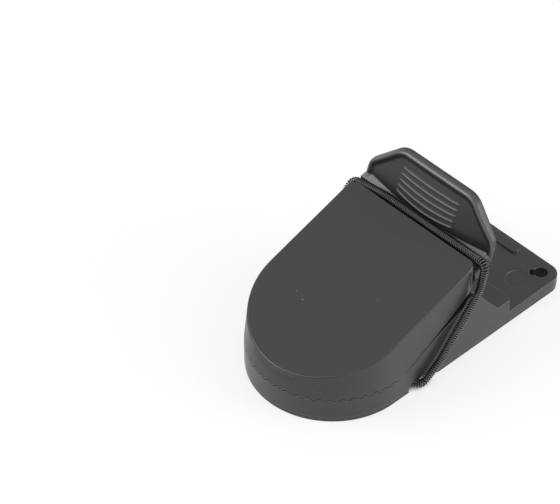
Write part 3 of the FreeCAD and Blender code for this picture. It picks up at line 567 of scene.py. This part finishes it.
# %% Shade and place the shell
SHARP_DEGREES = 15
IN_ROOF_PLANE = 0.999

normals = np.empty(len(shell_mesh.polygons) * 3)
shell_mesh.polygons.foreach_get("normal", normals)
roof_normal = np.array([0.0, -ROOF_SLOPE, 1.0]) / math.hypot(ROOF_SLOPE, 1.0)
walls = normals.reshape(-1, 3) @ roof_normal < IN_ROOF_PLANE
shell_mesh.set_sharp_from_angle(angle=math.radians(SHARP_DEGREES))
shell_mesh.polygons.foreach_set("use_smooth", walls)
shell_mesh.update()
shell = bpy.data.objects.new("cover_shell", shell_mesh)
bpy.context.scene.collection.objects.link(shell)
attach(shell, "cover")
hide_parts("cover")
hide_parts("cover")
print("flat faces of the roof:", int((~walls).sum()))

# %% [markdown]
# ## The spring's route
# One closed extension spring is looped round the whole trap: across the groove
# behind the roof, down both sides, and across the underside, where its two hooks
# meet. Its centre line is a row of straight runs with rounded corners. A Blender
# curve with a bevel would give the route but not the wire, so the line is worked
# out with numpy and the wire is wound along it. All sizes are in millimetres.

# %% Route of the spring
SPRING_CORNERS = np.array(
    [
        (1.2, -12.5, 1.455), (25.3, -12.5, 1.455), (25.5, -5.2, 6.8), (25.5, 2.0, 15.0),
        (25.5, 9.3, 23.2), (25.5, 11.25, 31.4), (-13.0, 11.25, 31.4), (-25.4, 11.15, 29.4),
        (-25.5, -12.5, 1.455), (-1.2, -12.5, 1.455),
    ]
)
CORNER_RADII = (0.0, 2.0, 7.0, 7.0, 7.0, 2.5, 14.0, 2.5, 2.0, 0.0)
ROUTE_STEP = 0.03
route, route_length = rounded_route(SPRING_CORNERS, CORNER_RADII, ROUTE_STEP)
print("spring loop", round(route_length, 1), "mm")

# %% [markdown]
# ## The spring's wire
# The wire is wound so closely that the turns almost touch, and the eye reads them
# as fine rings. A helix is a circle that moves along the route: the wire's centre
# is the route point plus a radius that turns once each pitch. A small circle
# carried along that helix gives the wire its thickness. Both circles need two
# directions across their line, and these come from a direction that is known: for
# the route the normal of the plane in which the loop lies, and for the wire the
# radius that points at it from the route.


# %% Tube along a line
def perpendiculars(line, reference):
    """Two directions across the line at each point.

    The first is the reference direction less its part along the line, brought to
    length one. The second is the cross product of the line's direction with the first.
    """
    heading = np.gradient(line, axis=0)
    heading /= np.linalg.norm(heading, axis=1, keepdims=True)
    first = reference - heading * (heading * reference).sum(axis=1, keepdims=True)
    first /= np.linalg.norm(first, axis=1, keepdims=True)
    return first, np.cross(heading, first)


def tube(line, reference, radius, sides):
    """Vertices and quads of a round tube: centre + radius * (cos a * first + sin a * second)."""
    first, second = perpendiculars(line, reference)
    angle = np.linspace(0, 2 * np.pi, sides, endpoint=False)[None, :, None]
    ring = first[:, None] * np.cos(angle) + second[:, None] * np.sin(angle)
    points = (line[:, None] + radius * ring).reshape(-1, 3)
    row = np.arange(len(line) - 1)[:, None] * sides
    column = np.arange(sides)
    here, beside = row + column, row + (column + 1) % sides
    quads = np.stack([here, beside, beside + sides, here + sides], axis=2)
    return points, quads.reshape(-1, 4)


LOOP_NORMAL = np.array([0.0, -0.7835, 0.6214])
level, outward = perpendiculars(route, LOOP_NORMAL)
print("route has", len(route), "points")

# %% Wire of the spring
COIL_DIAMETER = 2.4
WIRE_DIAMETER = 0.52
PITCH = 0.65
STEPS_PER_TURN = 18
WIRE_SIDES = 7

turns = route_length / PITCH
samples = np.linspace(0, 1, int(turns * STEPS_PER_TURN) + 1)
index = samples * (len(route) - 1)
low = np.minimum(index.astype(int), len(route) - 2)
part = (index - low)[:, None]
centre = route[low] * (1 - part) + route[low + 1] * part
up = level[low] * (1 - part) + level[low + 1] * part
out = outward[low] * (1 - part) + outward[low + 1] * part
turn_angle = (2 * np.pi * turns * samples)[:, None]
coil_radius = (COIL_DIAMETER - WIRE_DIAMETER) / 2
spoke = up * np.cos(turn_angle) + out * np.sin(turn_angle)
wire_line = centre + coil_radius * spoke
wire_points, wire_quads = tube(wire_line, spoke, WIRE_DIAMETER / 2, WIRE_SIDES)
print("spring", round(turns), "turns,", len(wire_quads) * 2, "triangles")

# %% [markdown]
# ## Blackened spring wire
# Hard drawn spring steel is blackened with oxide and a film of oil. Most of the
# surface is a dark skin with steel showing through, so it is nearly all metal, and
# rather smooth: each turn carries a point of light.

# %% Wire material
OIL_PATCH = 2.5 * MM

wire_material, tree = new_material("black_oxide_spring_steel")
place = add(tree, "TexCoord").outputs["Object"]
oil = add(tree, "TexNoise", {"Vector": place, "Scale": 1 / OIL_PATCH, "Detail": 3.0})
film = add(
    tree, "MapRange",
    {
        "Value": oil.outputs["Fac"], "From Min": 0.3, "From Max": 0.7,
        "To Min": 0.18, "To Max": 0.3,
    },
)
shader = add(
    tree, "BsdfPrincipled",
    {"Base Color": colour("#58585a"), "Roughness": film.outputs["Result"], "Metallic": 0.9},
)
add(tree, "OutputMaterial", {"Surface": shader.outputs["BSDF"]})
print("spring gets", wire_material.name)

# %% Coil piece
# The wound coil is one piece at its own place, and the measured spring is hidden.
coil = mesh_piece("spring_coil", wire_points, wire_quads, wire_material)
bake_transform(coil)
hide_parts("spring")
print("spring piece", len(coil.data.vertices), "points")

# %% [markdown]
# ## Floor, light and white background
# The photograph is a studio shot on white. The floor is a pale matt sheet that the
# camera, and whatever mirrors it, sees nearly as plain white, so only a faint shadow
# is left on it. In narrow gaps, such as the nail hole, the sheet stays dark, which
# the ambient occlusion node measures. A black plastic shows its surroundings, so the
# lamps decide its look: a dim pale room, a wide panel above, and one large soft panel
# on each side. None stands where the roof would mirror it.

# %% Floor
FLOOR_HALF = 1.5
FLOOR_WHITE = 0.75
GAP_REACH = 5 * MM
CORNER_SIGNS = ((-1, -1), (1, -1), (1, 1), (-1, 1))

floor_mesh = bpy.data.meshes.new("floor")
floor_corners = [(x * FLOOR_HALF, y * FLOOR_HALF, 0) for x, y in CORNER_SIGNS]
floor_mesh.from_pydata(floor_corners, [], [(0, 1, 2, 3)])
floor = bpy.data.objects.new("floor", floor_mesh)
bpy.context.scene.collection.objects.link(floor)

floor_material, tree = new_material("white_studio_sheet")
rays = add(tree, "LightPath").outputs
seen = add(
    tree, "Math", {0: rays["Is Camera Ray"], 1: rays["Is Glossy Ray"]}, operation="MAXIMUM",
)
seen = add(
    tree, "Math", {0: seen.outputs[0], 1: rays["Is Transmission Ray"]}, operation="MAXIMUM",
)
open_air = add(tree, "AmbientOcclusion", {"Distance": GAP_REACH}, samples=8)
openness = add(
    tree, "MapRange",
    {"Value": open_air.outputs["AO"], "From Min": 0.3, "From Max": 0.5, "To Max": FLOOR_WHITE},
)
share = add(
    tree, "Math", {0: seen.outputs[0], 1: openness.outputs["Result"]}, operation="MULTIPLY",
)
sheet = add(tree, "BsdfPrincipled", {"Base Color": colour("#f4f4f4"), "Roughness": 0.9})
glow = add(tree, "Emission", {"Color": (1, 1, 1, 1), "Strength": 1.0})
mixed = add(tree, "MixShader", {0: share.outputs[0], 1: sheet.outputs[0], 2: glow.outputs[0]})
add(tree, "OutputMaterial", {"Surface": mixed.outputs[0]})
floor_mesh.materials.append(floor_material)
print("floor", 2 * FLOOR_HALF, "m wide")

# %% Lamps and world
ROOM_STRENGTH = 0.5

world = bpy.data.worlds.new("studio")
world.use_nodes = True
bpy.context.scene.world = world
background = world.node_tree.nodes["Background"]
background.inputs["Color"].default_value = (1, 1, 1, 1)
background.inputs["Strength"].default_value = ROOM_STRENGTH


def panel(name, place, size, watts):
    """A square soft lamp at a place, turned so that it faces the origin."""
    data = bpy.data.lights.new(name, "AREA")
    data.size = size
    data.energy = watts
    lamp = bpy.data.objects.new(name, data)
    x, y, z = place
    lamp.location = place
    lamp.rotation_euler = (math.atan2(math.hypot(x, y), z), 0, math.atan2(x, -y))
    bpy.context.scene.collection.objects.link(lamp)
    print(name, watts, "W at", place)


panel("ceiling_panel", place=(0.0, 0.0, 1.6), size=3.0, watts=10.0)
panel("right_panel", place=(0.72, 0.5, 0.45), size=0.6, watts=5.0)
panel("left_panel", place=(-0.55, -0.65, 0.6), size=0.6, watts=5.0)

# %% View transform
bpy.context.scene.view_settings.view_transform = "Standard"
